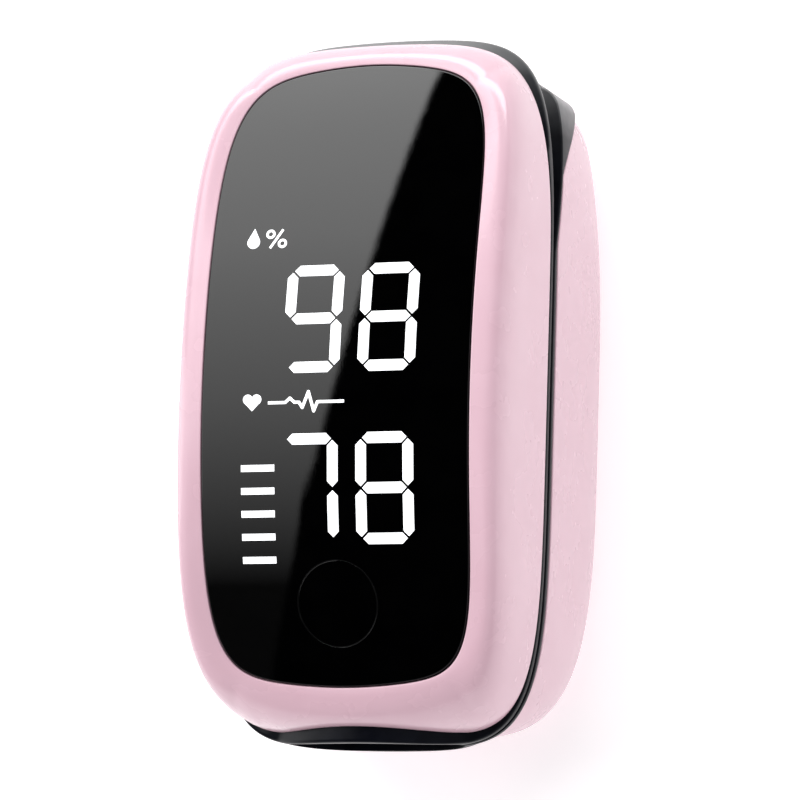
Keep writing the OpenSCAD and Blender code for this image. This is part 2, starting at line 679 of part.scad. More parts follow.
// An AAA cell lying along Y; turned swaps its ends
module cell(x, turned) {
    translate([x, turned ? 2 * cell_y + cell_l : 0, part_z + cell_z]) mirror([0, turned ? 1 : 0, 0])
        translate([0, cell_y, 0]) rotate([-90, 0, 0]) {
            cylinder(r = cell_r, h = cell_l - 1, $fn = 64);
            cylinder(r = 1.9, h = cell_l, $fn = 32);
        }
}

module battery_left() {
    color([0.2, 0.45, 0.6]) cell(-cell_r - 0.05, false);
}

module battery_right() {
    color([0.2, 0.45, 0.6]) cell(cell_r + 0.05, true);
}

module battery_springs() {
    steps = 44;
    front = tray_front + 0.9;
    color(steel) translate([0, 0, part_z]) {
        box(-8, 8, front, front + 0.25, -10.6, -6.5);
        // raised tongue that meets the right cell's terminal
        box(cell_r - 1.8, cell_r + 1.8, front, cell_y - 0.1, cell_z - 1.2, cell_z + 1.2);
        translate([-cell_r, 0, cell_z]) wire([for (i = [0:steps])
            let (u = i / steps, a = 360 * 4 * u, r = 3 - 1.4 * u)
            [r * cos(a), front + 0.4 + (cell_y - 0.25 - front - 0.4) * u, r * sin(a)]], 0.22, 6);
    }
}

module battery_contact() {
    color(gold) translate([0, 0, part_z]) box(-8, 8, tray_rear - 0.4, tray_rear - 0.1, -11.4, -6.5);
}

upper_shell();
display_window();
lit_digits();
pulse_bars();
heart_mark();
unit_marks();
power_button();
led_display();
main_board();
controller_chip();
board_parts();
dome_switch();
upper_frame();
upper_pad();
light_emitter();
emitter_lens();
upper_screws();
lower_shell();
lower_frame();
lower_pad();
sensor_lens();
photodiode();
sensor_board();
hinge_pin();
clamp_spring();
flex_cable();
lower_screws();
battery_tray();
battery_left();
battery_right();
battery_springs();
battery_contact();
battery_door();
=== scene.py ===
"""Fingertip pulse oximeter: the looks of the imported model.

The moulded shells, frames, pads, window, key, door, spring and ribbon are built here as fine meshes
from the same curves as the CAD model. The other pieces stay as the CAD made them and get materials.
"""
import json
import math

import bmesh
import bpy
from mathutils import Matrix, Vector


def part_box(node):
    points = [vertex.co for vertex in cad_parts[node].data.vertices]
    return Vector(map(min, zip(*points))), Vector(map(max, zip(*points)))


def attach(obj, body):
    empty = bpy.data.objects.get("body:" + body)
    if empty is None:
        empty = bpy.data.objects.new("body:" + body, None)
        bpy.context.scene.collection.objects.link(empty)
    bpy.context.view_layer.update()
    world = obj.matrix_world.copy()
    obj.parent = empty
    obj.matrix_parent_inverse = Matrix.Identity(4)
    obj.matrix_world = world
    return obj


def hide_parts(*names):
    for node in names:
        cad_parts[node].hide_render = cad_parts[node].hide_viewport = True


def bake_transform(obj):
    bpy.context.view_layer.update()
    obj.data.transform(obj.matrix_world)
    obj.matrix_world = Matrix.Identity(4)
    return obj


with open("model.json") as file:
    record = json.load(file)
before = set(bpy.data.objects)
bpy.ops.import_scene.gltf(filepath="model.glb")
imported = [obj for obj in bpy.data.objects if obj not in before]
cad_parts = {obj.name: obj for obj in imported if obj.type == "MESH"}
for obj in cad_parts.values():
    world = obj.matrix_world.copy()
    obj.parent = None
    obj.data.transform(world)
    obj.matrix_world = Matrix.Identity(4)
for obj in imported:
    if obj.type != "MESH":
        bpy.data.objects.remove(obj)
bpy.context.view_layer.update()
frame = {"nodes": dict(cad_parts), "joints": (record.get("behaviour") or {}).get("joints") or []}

# ---- dimensions, in millimetres -----------------------------------------------------------------

MM = 0.001


def node_box(name):
    """A CAD node's lowest and highest corners in millimetres."""
    low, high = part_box(name)
    return [c / MM for c in low], [c / MM for c in high]


shell_high = node_box("upper_shell")[1]
belly_low = node_box("lower_shell")[0]
window_high = node_box("display_window")[1]
button_low, button_high = node_box("power_button")
hinge = [joint for joint in frame["joints"] if joint["name"] == "clamp_hinge"][0]

PART_Z = hinge["pos_m"][2] / MM       # height of the parting plane, which holds the hinge's axis
HINGE_Y = hinge["pos_m"][1] / MM

# Shells: half width, lengths from MID_Y, corner exponents, bows of the ends
HALF_W = shell_high[0]
MID_Y = -0.5
SHELL_REAR = shell_high[1] - MID_Y
SHELL_FRONT = 27.6
CORNER_REAR, CORNER_FRONT = 5.4, 5.2
BOW_REAR, BOW_FRONT = 1.1, -1.9
WALL = 1.3
REAR_Y = 20               # from here on the shells count as their rear end
REAR_CUT = 1.15           # the lower half is this much shorter at its rear end
CUT_W, CUT_BLEND = 12.9, 1.6

# Window and the crown that its face follows
WINDOW_W = window_high[0] + 0.1
WINDOW_L, WINDOW_Y, WINDOW_T = 25.9, 0.7, 1.2
WINDOW_CORNER_REAR, WINDOW_CORNER_FRONT = 5.9, 6.5
WINDOW_BOW_REAR, WINDOW_BOW_FRONT = 2.6, 1.8
WINDOW_GAP = 0.1
CROWN_Z, CROWN_Y, CROWN_R = 12.4, -0.9, 67.0
SHOULDER_SIDE, SHOULDER_END, SHOULDER_L = 6.4, 2.0, 27
REBATE_W, REBATE_DEEP, REBATE_BACK = 1.1, 1.25, 2.1

# Lower half: the flat underside, the shell's floor and the opening over the cells
BASE_W, BASE_L, BASE_CORNER, BELLY_P = 12.9, 22.0, 4, 2.2
BASE_Z = -PART_Z
DOOR_Z = belly_low[2] - PART_Z - 0.1
FLOOR_Z = belly_low[2] - PART_Z
FLOOR_T = 1.2
FLOOR_TOP = FLOOR_Z + FLOOR_T
CELLS_W, CELLS_L, CELLS_Y, CELLS_CORNER = 10.8, 22.5, 1.25, 14
TOE_X, TOE_Y, TOE_L = 9.5, (-15.6, 2.4), 4
NOTCH_X, NOTCH_HALF_W, NOTCH_Y, NOTCH_L = 11.1, 1.1, (-9.8, 8.2), 4.4
GRIPS, GRIP_R, GRIP_HALF_W, GRIP_Y, GRIP_STEP, GRIP_DROP = 6, 0.55, 5.5, -15.5, 1.5, 0.22

# Frames: the bands in the parting line and the finger channel between them
GAP_ANGLE = math.radians(15)
CHANNEL_W, CHANNEL_UP, CHANNEL_DOWN, CHANNEL_END = 7.6, 4.2, 3.3, 6.2
CHANNEL_ROUND = -8        # from here the channel rounds off to its end
PAD_T, PAD_FRONT, PAD_FIT = 0.8, -28.0, 0.1
RIB_H, RIB_PITCH, RIBS_FRONT, RIBS_REAR = 0.12, 1.6, -24, -13
FRAME_REAR, FRAME_FRONT, FRAME_CORNER = 30.5, 28.9, 5.2
HALF_GAP, RIM_UP, RIM_DOWN, SEAM = 0.15, 1.0, 0.95, 0.05
RIM_RISE, RIM_RISE_Y = 0.009, 13
SWEEP, SWEEP_Y, SWEEP_L = 10, 14.1, 15
ARCH_W, ARCH_UP, ARCH_DOWN = 8.5, 4.4, 3.4
ARCH_Y, ARCH_L = -20, 5
FLARE = 3.5               # slope of the upper frame's band behind the shell
SHOULDER_D = 3.0
SENSOR_Y, LENS_HOLE_R = -9.0, 2.3
SCREW_R, SCREW_HEAD_R = 0.85, 1.7
UPPER_SCREWS = [(side * 11.1, y) for side in (-1, 1) for y in (17.6, -17.6)]
LOWER_SCREWS = [(side * 10.1, -22.7) for side in (-1, 1)]

# Hinge: lugs, pin, bay cut for them, spring
LUG_R, PIN_R, BAY = 2.5, 1.0, 3.7
BAY_W, COIL_BAY_W, PIN_END = 12.75, 3.9, 12.4
PIN_HOLE_END = 12.6
UPPER_LUG, LOWER_LUG = (7.1, 9.5), (9.95, 12.5)      # where the lugs begin and end along X
LEG_GROOVE_X, LEG_GROOVE_L = (2.5, 2.4), 9.5         # of the upper and the lower groove
COIL_R, WIRE_R = 2.6, 0.45
RIBBON_X = (4.4, 6.4)
RIBBON_SLOT = (4.2, 6.6)

BUTTON_Y = (button_low[1] + button_high[1]) / 2
BUTTON_R = (button_high[0] - button_low[0]) / 2

RING_N = 320              # points round a plan outline
CROWD = 0.5               # how strongly they gather at the corners


# ---- curves, as in the CAD model ----------------------------------------------------------------

def clamp01(v):
    return min(1.0, max(0.0, v))


def plan_angle(k):
    """Angle of outline step k of RING_N, counted from the front tip."""
    quarter = k / (RING_N / 4)
    part = quarter - math.floor(quarter)
    swing = CROWD / (2 * math.pi) * math.sin(2 * math.pi * part)
    return math.radians(-90 + 90 * (math.floor(quarter) + part + swing))


def plan_point(k, a, rear, front, n_rear, n_front, bow_r=0.0, bow_f=0.0, y0=MID_Y):
    """A point on a squarish outline: half width a, lengths and corner exponents rear and front."""
    t = plan_angle(k)
    c, s = math.cos(t), math.sin(t)
    n, length, bow = (n_rear, rear, bow_r) if s >= 0 else (n_front, front, bow_f)
    r = (abs(c) ** n + abs(s) ** n) ** (-1 / n)
    return (a * r * c, y0 + length * r * s - bow * math.copysign(1, s) * (r * c * s) ** 2)


def shell_point(k, inset=0.0):
    return plan_point(k, HALF_W - inset, SHELL_REAR - inset, SHELL_FRONT - inset,
                      CORNER_REAR, CORNER_FRONT, BOW_REAR, BOW_FRONT)


def frame_point(k, inset=0.0):
    return plan_point(k, HALF_W - 0.03 - inset, FRAME_REAR - inset, FRAME_FRONT - inset,
                      CORNER_REAR, FRAME_CORNER, BOW_REAR)


def rear_trim(k):
    """How much shorter the lower half's outlines are than the upper half's at step k."""
    x, y = frame_point(k)
    return 0.0 if y < REAR_Y else REAR_CUT * clamp01((CUT_W - abs(x)) / CUT_BLEND)


def low_shell_point(k, inset=0.0):
    x, y = shell_point(k, inset)
    return (x, y - rear_trim(k))


def low_frame_point(k, inset=0.0):
    x, y = frame_point(k, inset)
    return (x, y - rear_trim(k))


def window_point(k, inset=0.0):
    return plan_point(k, WINDOW_W - inset, WINDOW_L - inset, WINDOW_L - inset,
                      WINDOW_CORNER_REAR, WINDOW_CORNER_FRONT,
                      WINDOW_BOW_REAR, WINDOW_BOW_FRONT, WINDOW_Y)


def base_point(k, shrink=1.0):
    x, y = plan_point(k, BASE_W, BASE_L, BASE_L, BASE_CORNER, BASE_CORNER)
    return (x * shrink, y * shrink)


def cells_point(k):
    """The opening over the battery cells in the lower shell's floor."""
    return plan_point(k, CELLS_W, CELLS_L, CELLS_L, CELLS_CORNER, CELLS_CORNER, y0=CELLS_Y)


def crown(y):
    """Height of the window's face over the parting plane."""
    return CROWN_Z - (y - CROWN_Y) ** 2 / (2 * CROWN_R)


def arch(x, y, rise):
    """Low arch of a shell's edge over the finger opening."""
    if y >= 0:
        return 0.0
    return rise * max(0.0, 1 - (x / ARCH_W) ** 2) * clamp01((ARCH_Y - y) / ARCH_L)


def rim_top(x, y):
    """Height of the upper shell's edge."""
    return RIM_UP + arch(x, y, ARCH_UP) + RIM_RISE * max(0.0, y - RIM_RISE_Y) ** 2


def meet_low(y):
    """Depth of the lower frame's meeting face, which falls away behind the hinge."""
    return HALF_GAP + max(0.0, y - HINGE_Y) * math.tan(GAP_ANGLE)


def rim_low(x, y):
    """Depth of the lower shell's edge, which sweeps down at the rear end."""
    t = clamp01((y - SWEEP_Y) / SWEEP_L)
    sweep = SWEEP * t * t * (2 - t * t)
    return max(RIM_DOWN + arch(x, y, ARCH_DOWN) + sweep, meet_low(y) + 0.45)


def beyond(x, y):
    """How far a point lies outside the shells' outline at the rear end."""
    if y < REAR_Y:
        return 0.0
    u, v = abs(x) / HALF_W, (y - MID_Y) / SHELL_REAR
    v += BOW_REAR / SHELL_REAR * (u * v) ** 2 / max(0.01, u * u + v * v)
    return max(0.0, (u ** CORNER_REAR + v ** CORNER_REAR) ** (1 / CORNER_REAR) - 1) * SHELL_REAR


def band_top(x, y):
    """Top of the upper frame's band, which flares out behind the shell."""
    return max(HALF_GAP + 0.6, rim_top(x, y) - SEAM - FLARE * beyond(x, y))


def shoulder(y):
    """Squareness of the upper shell's shoulder at y."""
    return SHOULDER_SIDE + (SHOULDER_END - SHOULDER_SIDE) * min(1, abs(y - MID_Y) / SHOULDER_L) ** 4


def channel_fill(y):
    """How full the finger channel is: 1 in front, rounding off to 0 at its inner end."""
    if y < CHANNEL_ROUND:
        return 1.0
    along = (y - CHANNEL_ROUND) / (CHANNEL_END - CHANNEL_ROUND)
    return max(0.0, 1 - along ** 3) ** (1 / 3)


def channel_d(x, y, w, d):
    """Depth of a finger channel of half width w and depth d."""
    f = channel_fill(y)
    if f <= 0:
        return 0.0
    return d * f * math.sqrt(max(0.0, 1 - (x / (w * (0.4 + 0.6 * f))) ** 2))


def wall_point(p, o, zp, zo, polar, e):
    """A point of a moulded wall between an inner edge p and an outer edge o, at a polar angle."""
    c, s = abs(math.cos(polar)), abs(math.sin(polar))
    r = (c ** e + s ** e) ** (-1 / e)
    c, s = r * c, r * s
    return (p[0] + (o[0] - p[0]) * s, p[1] + (o[1] - p[1]) * s, zo + (zp - zo) * c)


# ---- mesh making --------------------------------------------------------------------------------

def fillet(path, corners, steps=4, hold=0.0):
    """Rounds corners of a closed path of points; corners maps an index to a radius.

    Points at the distance hold before and after a rounding keep the faces beside it flat."""
    out = []
    count = len(path)
    for i, point in enumerate(path):
        here = Vector(point)
        if i not in corners:
            out.append(here)
            continue
        before, after = Vector(path[i - 1]), Vector(path[(i + 1) % count])
        arm_a, arm_b = before - here, after - here
        a = here + arm_a.normalized() * min(corners[i], arm_a.length * 0.45)
        b = here + arm_b.normalized() * min(corners[i], arm_b.length * 0.45)
        if hold:
            out.append(a + arm_a.normalized() * min(hold, arm_a.length * 0.2))
        for j in range(steps + 1):
            t = j / steps
            out.append(a * (1 - t) ** 2 + here * 2 * t * (1 - t) + b * t * t)
        if hold:
            out.append(b + arm_b.normalized() * min(hold, arm_b.length * 0.2))
    return out


def grid_mesh(name, rows, close_rows, close_columns):
    """A mesh through rows of points in millimetres over the parting plane; open ends get caps."""
    count, width = len(rows), len(rows[0])
    verts = [(p[0] * MM, p[1] * MM, (p[2] + PART_Z) * MM) for row in rows for p in row]
    faces = []
    for i in range(count if close_rows else count - 1):
        for j in range(width if close_columns else width - 1):
            a, b = i * width + j, i * width + (j + 1) % width
            c, d = (i + 1) % count * width + (j + 1) % width, (i + 1) % count * width + j
            faces.append((a, b, c, d))
    if not close_rows and close_columns:
        faces.append(tuple(reversed(range(width))))
        faces.append(tuple((count - 1) * width + j for j in range(width)))
    mesh = bpy.data.meshes.new(name)
    mesh.from_pydata(verts, [], faces)
    piece = bpy.data.objects.new(name, mesh)
    bpy.context.scene.collection.objects.link(piece)
    clean(piece)
    return piece


def clean(piece, merge=0.000002):
    """Joins points that coincide, drops empty faces and turns all faces outwards."""
    work = bmesh.new()
    work.from_mesh(piece.data)
    bmesh.ops.remove_doubles(work, verts=work.verts, dist=merge)
    bmesh.ops.dissolve_degenerate(work, dist=merge, edges=work.edges)
    bmesh.ops.recalc_face_normals(work, faces=work.faces)
    work.to_mesh(piece.data)
    work.free()


def smooth(piece, angle=35):
    """Smooth shading, with edges sharper than the angle kept."""
    piece.data.shade_smooth()
    piece.data.set_sharp_from_angle(angle=math.radians(angle))
    return piece


def box_piece(x0, x1, y0, y1, z0, z1):
    """A helper box for a Boolean, in millimetres over the parting plane."""
    rows = [[(x0, y, z0), (x1, y, z0), (x1, y, z1), (x0, y, z1)] for y in (y0, y1)]
    return grid_mesh("cutter", rows, False, True)


def rod_piece(radius, start, end, sides=64):
    """A helper cylinder for a Boolean, from start to end in millimetres."""
    start, end = Vector(start), Vector(end)
    axis = (end - start).normalized()
    side = axis.orthogonal().normalized()
    up = axis.cross(side)
    rows = []
    for centre in (start, end):
        turn = [2 * math.pi * j / sides for j in range(sides)]
        rows.append([centre + radius * (math.cos(a) * side + math.sin(a) * up) for a in turn])
    return grid_mesh("cutter", rows, False, True)


def combine(piece, tools, operation, solver="EXACT"):
    """Applies Booleans of the tools to the piece and removes the tools."""
    for tool in tools:
        change = piece.modifiers.new("change", "BOOLEAN")
        change.operation = operation
        change.solver = solver
        change.object = tool
        evaluated = piece.evaluated_get(bpy.context.evaluated_depsgraph_get())
        mesh = bpy.data.meshes.new_from_object(evaluated)
        piece.modifiers.remove(change)
        old = piece.data
        piece.data = mesh
        bpy.data.meshes.remove(old)
        bpy.data.objects.remove(tool)
    piece.data.name = piece.name
    clean(piece)
    return piece


def sweep_wire(name, path, radius, sides=16):
    """A round wire along a path in millimetres, with domed ends."""
    points = [Vector(p) for p in path]
    tangents = []
    for i in range(len(points)):
        ahead, behind = points[min(i + 1, len(points) - 1)], points[max(i - 1, 0)]
        tangents.append((ahead - behind).normalized())
    side = tangents[0].orthogonal().normalized()
    rows = []
    for i, (point, tangent) in enumerate(zip(points, tangents)):
        side = (side - tangent * side.dot(tangent)).normalized()
        up = tangent.cross(side)
        ring = [math.cos(2 * math.pi * j / sides) * side + math.sin(2 * math.pi * j / sides) * up
                for j in range(sides)]
        dome = [(-0.5, 0.5), (-0.3, 0.85), (0, 1)] if i == 0 else [(0, 1)]
        if i == len(points) - 1:
            dome = [(0, 1), (0.3, 0.85), (0.5, 0.5)]
        for shift, size in dome:
            rows.append([point + tangent * shift * radius + v * radius * size for v in ring])
    return smooth(grid_mesh(name, rows, False, True), 60)


def curve_through(points, steps=8):
    """A Catmull-Rom curve through points."""
    points = [Vector(p) for p in points]
    out = []
    for i in range(len(points) - 1):
        a, b, c = points[max(i - 1, 0)], points[i], points[i + 1]
        d = points[min(i + 2, len(points) - 1)]
        for j in range(steps):
            t = j / steps
            out.append(0.5 * (2 * b + (c - a) * t + (2 * a - 5 * b + 4 * c - d) * t * t
                              + (3 * b - a - 3 * c + d) * t ** 3))
    out.append(points[-1])
    return out


# ---- materials ----------------------------------------------------------------------------------

class Nodes:
    """Short ways to build a node material."""

    def __init__(self, name):
        self.material = bpy.data.materials.new(name)
        self.material.use_nodes = True
        self.tree = self.material.node_tree
        self.shader = self.tree.nodes["Principled BSDF"]
        self.place = self.tree.nodes.new("ShaderNodeTexCoord").outputs["Object"]

    def set(self, **values):
        for name, value in values.items():
            self.shader.inputs[name.replace("_", " ")].default_value = value

    def link(self, source, target):
        self.tree.links.new(source, target)

    def noise(self, per_mm, detail=3.0, stretch=(1, 1, 1)):
        scale = self.tree.nodes.new("ShaderNodeMapping")
        scale.inputs["Scale"].default_value = [1000 * per_mm * s for s in stretch]
        texture = self.tree.nodes.new("ShaderNodeTexNoise")
        texture.inputs["Scale"].default_value = 1.0
        texture.inputs["Detail"].default_value = detail
        self.link(self.place, scale.inputs["Vector"])
        self.link(scale.outputs["Vector"], texture.inputs["Vector"])
        return texture.outputs["Fac"]

    def cells(self, per_mm, feature="F1"):
        texture = self.tree.nodes.new("ShaderNodeTexVoronoi")
        texture.feature = feature
        texture.inputs["Scale"].default_value = 1000 * per_mm
        self.link(self.place, texture.inputs["Vector"])
        return texture.outputs["Distance"]

    def ramp(self, fac, *stops):
        node = self.tree.nodes.new("ShaderNodeValToRGB")
        elements = node.color_ramp.elements
        while len(elements) < len(stops):
            elements.new(0.5)
        for element, (position, colour) in zip(elements, stops):
            element.position = position
            element.color = (*colour, 1) if len(colour) == 3 else colour
        self.link(fac, node.inputs["Fac"])
        return node.outputs["Color"]

    def span(self, fac, low, high, start=0.0, end=1.0):
        node = self.tree.nodes.new("ShaderNodeMapRange")
        node.inputs["From Min"].default_value = start
        node.inputs["From Max"].default_value = end
        node.inputs["To Min"].default_value = low
        node.inputs["To Max"].default_value = high
        self.link(fac, node.inputs["Value"])
        return node.outputs["Result"]

    def colour(self, fac, dark, light, start=0.35, end=0.65):
        self.link(self.ramp(fac, (start, dark), (end, light)), self.shader.inputs["Base Color"])

    def rough(self, fac, low, high):
        self.link(self.span(fac, low, high), self.shader.inputs["Roughness"])

    def bump(self, height, distance_mm, strength=1.0):
        node = self.tree.nodes.new("ShaderNodeBump")
        node.inputs["Strength"].default_value = strength
        node.inputs["Distance"].default_value = distance_mm * MM
        self.link(height, node.inputs["Height"])
        last = self.shader.inputs["Normal"]
        if last.is_linked:
            self.link(last.links[0].from_socket, node.inputs["Normal"])
        self.link(node.outputs["Normal"], last)

    def round_edges(self, radius_mm):
        node = self.tree.nodes.new("ShaderNodeBevel")
        node.samples = 6
        node.inputs["Radius"].default_value = radius_mm * MM
        self.link(node.outputs["Normal"], self.shader.inputs["Normal"])


def pink_plastic():
    """Glossy moulded pink, with a faint mottle and a soft moulded ripple."""
    m = Nodes("pink_plastic")
    m.set(IOR=1.49, Coat_Weight=0.25, Coat_Roughness=0.08)
    m.colour(m.noise(0.22, 4), (0.86, 0.55, 0.64), (0.89, 0.585, 0.675), 0.3, 0.7)
    m.rough(m.noise(0.25, 3), 0.24, 0.3)
    m.bump(m.noise(0.5, 1), 0.002, 0.4)
    return m.material


def black_gloss(name, smooth_end, worn_end):
    """Polished black with faint hairlines and smudges in its gloss."""
    m = Nodes(name)
    m.set(IOR=1.5, Coat_Weight=0.0)
    m.colour(m.noise(0.3, 2), (0.0003, 0.0003, 0.0004), (0.0006, 0.0006, 0.0007))
    m.rough(m.noise(0.16, 5, (1, 0.3, 1)), smooth_end, worn_end)
    m.bump(m.noise(9, 3, (6, 0.3, 1)), 0.0002, 0.2)
    return m.material


def lit_mark():
    """Lit display marks: even white light with slightly softer ends."""
    m = Nodes("lit_mark")
    m.set(Base_Color=(0.9, 0.9, 0.9, 1), Roughness=0.5)
    glow = m.ramp(m.noise(1.4, 2), (0.3, (0.93, 0.95, 1.0)), (0.7, (1.0, 1.0, 1.0)))
    m.link(glow, m.shader.inputs["Emission Color"])
    m.set(Emission_Strength=1.0)
    return m.material


def frame_plastic():
    """Dark satin frame with a fine moulded grain."""
    m = Nodes("frame_plastic")
    m.set(IOR=1.5, Coat_Roughness=0.2)
    m.round_edges(0.12)
    m.colour(m.noise(0.5, 3), (0.002, 0.0025, 0.005), (0.005, 0.006, 0.010))
    m.rough(m.noise(1.2, 4), 0.26, 0.4)
    # polished by the fingers at the squeezed rear end, satin elsewhere
    split = m.tree.nodes.new("ShaderNodeSeparateXYZ")
    m.link(m.place, split.inputs["Vector"])
    worn = m.span(split.outputs["Y"], 0.0, 1.0, 0.022, 0.027)
    m.link(m.span(worn, 0.1, 0.6), m.shader.inputs["Specular IOR Level"])
    m.link(m.span(worn, 0.0, 0.4), m.shader.inputs["Coat Weight"])
    m.bump(m.noise(5, 3), 0.004, 0.5)
    return m.material


def silicone():
    """Dark soft silicone with a fine matt grain and a little dust in its sheen."""
    m = Nodes("silicone")
    m.set(IOR=1.43, Sheen_Weight=0.25, Sheen_Roughness=0.5)
    m.colour(m.noise(0.7, 4), (0.02, 0.02, 0.024), (0.04, 0.04, 0.046))
    m.rough(m.noise(2, 3), 0.5, 0.68)
    m.bump(m.cells(4), 0.006, 0.35)
    return m.material


def plain_plastic(name, dark, light, roughness=0.45, coat=0.0):
    """Moulded plastic of one hue with mottle and grain."""
    m = Nodes(name)
    m.set(IOR=1.5, Coat_Weight=coat, Coat_Roughness=0.1)
    m.colour(m.noise(0.8, 4), dark, light)
    m.rough(m.noise(1.6, 3), roughness - 0.06, roughness + 0.08)
    m.bump(m.noise(6, 3), 0.003, 0.4)
    return m.material


def circuit_board():
    """Green solder mask with paler copper runs under it."""
    m = Nodes("circuit_board")
    m.set(IOR=1.5, Coat_Weight=0.4, Coat_Roughness=0.12)
    runs = m.cells(0.75, "DISTANCE_TO_EDGE")
    m.link(m.ramp(runs, (0.04, (0.05, 0.26, 0.12)), (0.09, (0.012, 0.1, 0.045))),
           m.shader.inputs["Base Color"])
    m.rough(m.noise(2, 3), 0.28, 0.42)
    m.bump(runs, 0.004, 0.3)
    return m.material


def metal(name, dark, light, stretch=(1, 1, 1), roughness=0.28):
    """Bare metal with drawn or brushed grain."""
    m = Nodes(name)
    m.set(Metallic=1.0)
    m.colour(m.noise(1.5, 4, stretch), dark, light)
    m.rough(m.noise(3, 4, stretch), roughness - 0.08, roughness + 0.12)
    m.bump(m.noise(9, 2, stretch), 0.001, 0.3)
    return m.material


def clear_lens():
    """Clear moulded lens with a faint violet cast and tiny ripples."""
    m = Nodes("clear_lens")
    m.set(IOR=1.5, Transmission_Weight=0.85)
    m.colour(m.noise(0.6, 2), (0.84, 0.84, 0.9), (0.92, 0.92, 0.97))
    m.rough(m.noise(1.5, 3), 0.04, 0.12)
    m.bump(m.noise(2, 2), 0.002, 0.3)
    return m.material


def cell_wrap(low, high, flip):
    """Shrink-wrapped cell: bare metal ends, a coloured band and a dark body, with no lettering."""
    m = Nodes("cell_wrap_turned" if flip else "cell_wrap_plain")
    split = m.tree.nodes.new("ShaderNodeSeparateXYZ")
    m.link(m.place, split.inputs["Vector"])
    along = m.span(split.outputs["Y"], 1.0 if flip else 0.0, 0.0 if flip else 1.0,
                   low * MM, high * MM)
    bands = [(0.0, (0.6, 0.6, 0.62)), (0.03, (0.02, 0.05, 0.09)), (0.66, (0.02, 0.05, 0.09)),
             (0.67, (0.62, 0.4, 0.12)), (0.955, (0.62, 0.4, 0.12)), (0.965, (0.7, 0.7, 0.72))]
    m.link(m.ramp(along, *bands), m.shader.inputs["Base Color"])
    metal_at, wrap_at = (1, 1, 1), (0, 0, 0)
    ends = m.ramp(along, (0.0, metal_at), (0.03, wrap_at), (0.955, wrap_at), (0.965, metal_at))
    m.link(ends, m.shader.inputs["Metallic"])
    m.rough(m.noise(1.2, 4), 0.2, 0.34)
    m.bump(m.noise(0.8, 3), 0.01, 0.3)
    return m.material


PINK, LIT = pink_plastic(), lit_mark()
GLASS, KEY = black_gloss("black_glass", 0.0, 0.015), black_gloss("key_gloss", 0.004, 0.02)
FRAME, SILICONE = frame_plastic(), silicone()
DRAWN_STEEL = metal("drawn_steel", (0.42, 0.42, 0.44), (0.62, 0.62, 0.64), (1, 0.2, 1))
SPRING_STEEL = metal("spring_steel", (0.34, 0.34, 0.36), (0.52, 0.52, 0.54), (0.3, 1, 1), 0.24)
FLEX = plain_plastic("polyimide", (0.42, 0.17, 0.03), (0.55, 0.25, 0.05), 0.25, 0.5)


def finish(piece, material, body, slot, *nodes):
    """Gives a new piece its material and body, and hides the CAD nodes that it stands for; the slot
    is not used.
    """
    piece.data.materials.clear()
    piece.data.materials.append(material)
    if body:
        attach(piece, body)
    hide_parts(*nodes)
    return piece


# ---- shells -------------------------------------------------------------------------------------

SHOULDER_STEPS = 26


def make_upper_shell():
    """The upper casing: the shoulder outside, a thinner wall inside, a rebate for the window."""
    rows = []
    for k in range(RING_N):
        p, o, inner = window_point(k), shell_point(k), shell_point(k, WALL)
        e = shoulder(o[1])
        back, ledge = window_point(k, -0.2), window_point(k, REBATE_W)
        outer = [wall_point(p, o, crown(p[1]), rim_top(*o), math.pi / 2 * j / SHOULDER_STEPS, e)
                 for j in range(SHOULDER_STEPS + 1)]
        inside = [wall_point(back, inner, crown(back[1]) - REBATE_BACK, rim_top(*inner),
                             math.pi / 2 * j / 8, e) for j in range(8, -1, -1)]
        rebate = [(ledge[0], ledge[1], crown(ledge[1]) - REBATE_BACK),
                  (ledge[0], ledge[1], crown(ledge[1]) - REBATE_DEEP),
                  (p[0], p[1], crown(p[1]) - REBATE_DEEP)]
        path = outer + inside + rebate
        corners = {0: 0.22, SHOULDER_STEPS: 0.14, SHOULDER_STEPS + 1: 0.1,
                   len(path) - 2: 0.1, len(path) - 3: 0.1}
        rows.append(fillet(path, corners))
    return smooth(grid_mesh("upper_casing", rows, True, True))


def belly_cut(zo, z, low):
    """Polar angle at which the belly crosses height z."""
    c = min(1.0, (zo - z) / (zo - low))
    return math.atan((c ** -BELLY_P - 1) ** (1 / BELLY_P))


def belly_path(k, z, inset, steps):
    """Points up the lower wall from height z to its edge."""
    p, o = base_point(k, 1 if inset == 0 else 0.97), low_shell_point(k, inset)
    zo = -rim_low(*o)
    low = BASE_Z + inset
    cut = belly_cut(zo, z, low)
    return [wall_point(p, o, low, zo, cut + (math.pi / 2 - cut) * j / steps, BELLY_P)
            for j in range(steps + 1)]


def make_lower_shell():
    """The lower casing: a belly, a floor open over the cells, and notches for the door's toes."""
    rows = []
    for k in range(RING_N):
        outer = belly_path(k, FLOOR_Z, 0, SHOULDER_STEPS)
        inside = belly_path(k, FLOOR_TOP, WALL, 8)[::-1]
        x, y = cells_point(k)
        path = outer + inside + [(x, y, FLOOR_TOP), (x, y, FLOOR_Z)]
        corners = {0: 0.08, SHOULDER_STEPS: 0.14, SHOULDER_STEPS + 1: 0.1}
        rows.append(fillet(path, corners))
    piece = grid_mesh("lower_casing", rows, True, True)
    notches = [box_piece(side * NOTCH_X - NOTCH_HALF_W, side * NOTCH_X + NOTCH_HALF_W,
                         y, y + NOTCH_L, FLOOR_Z - 1, FLOOR_TOP + 1)
               for side in (-1, 1) for y in NOTCH_Y]
    return smooth(combine(piece, notches, "DIFFERENCE"))


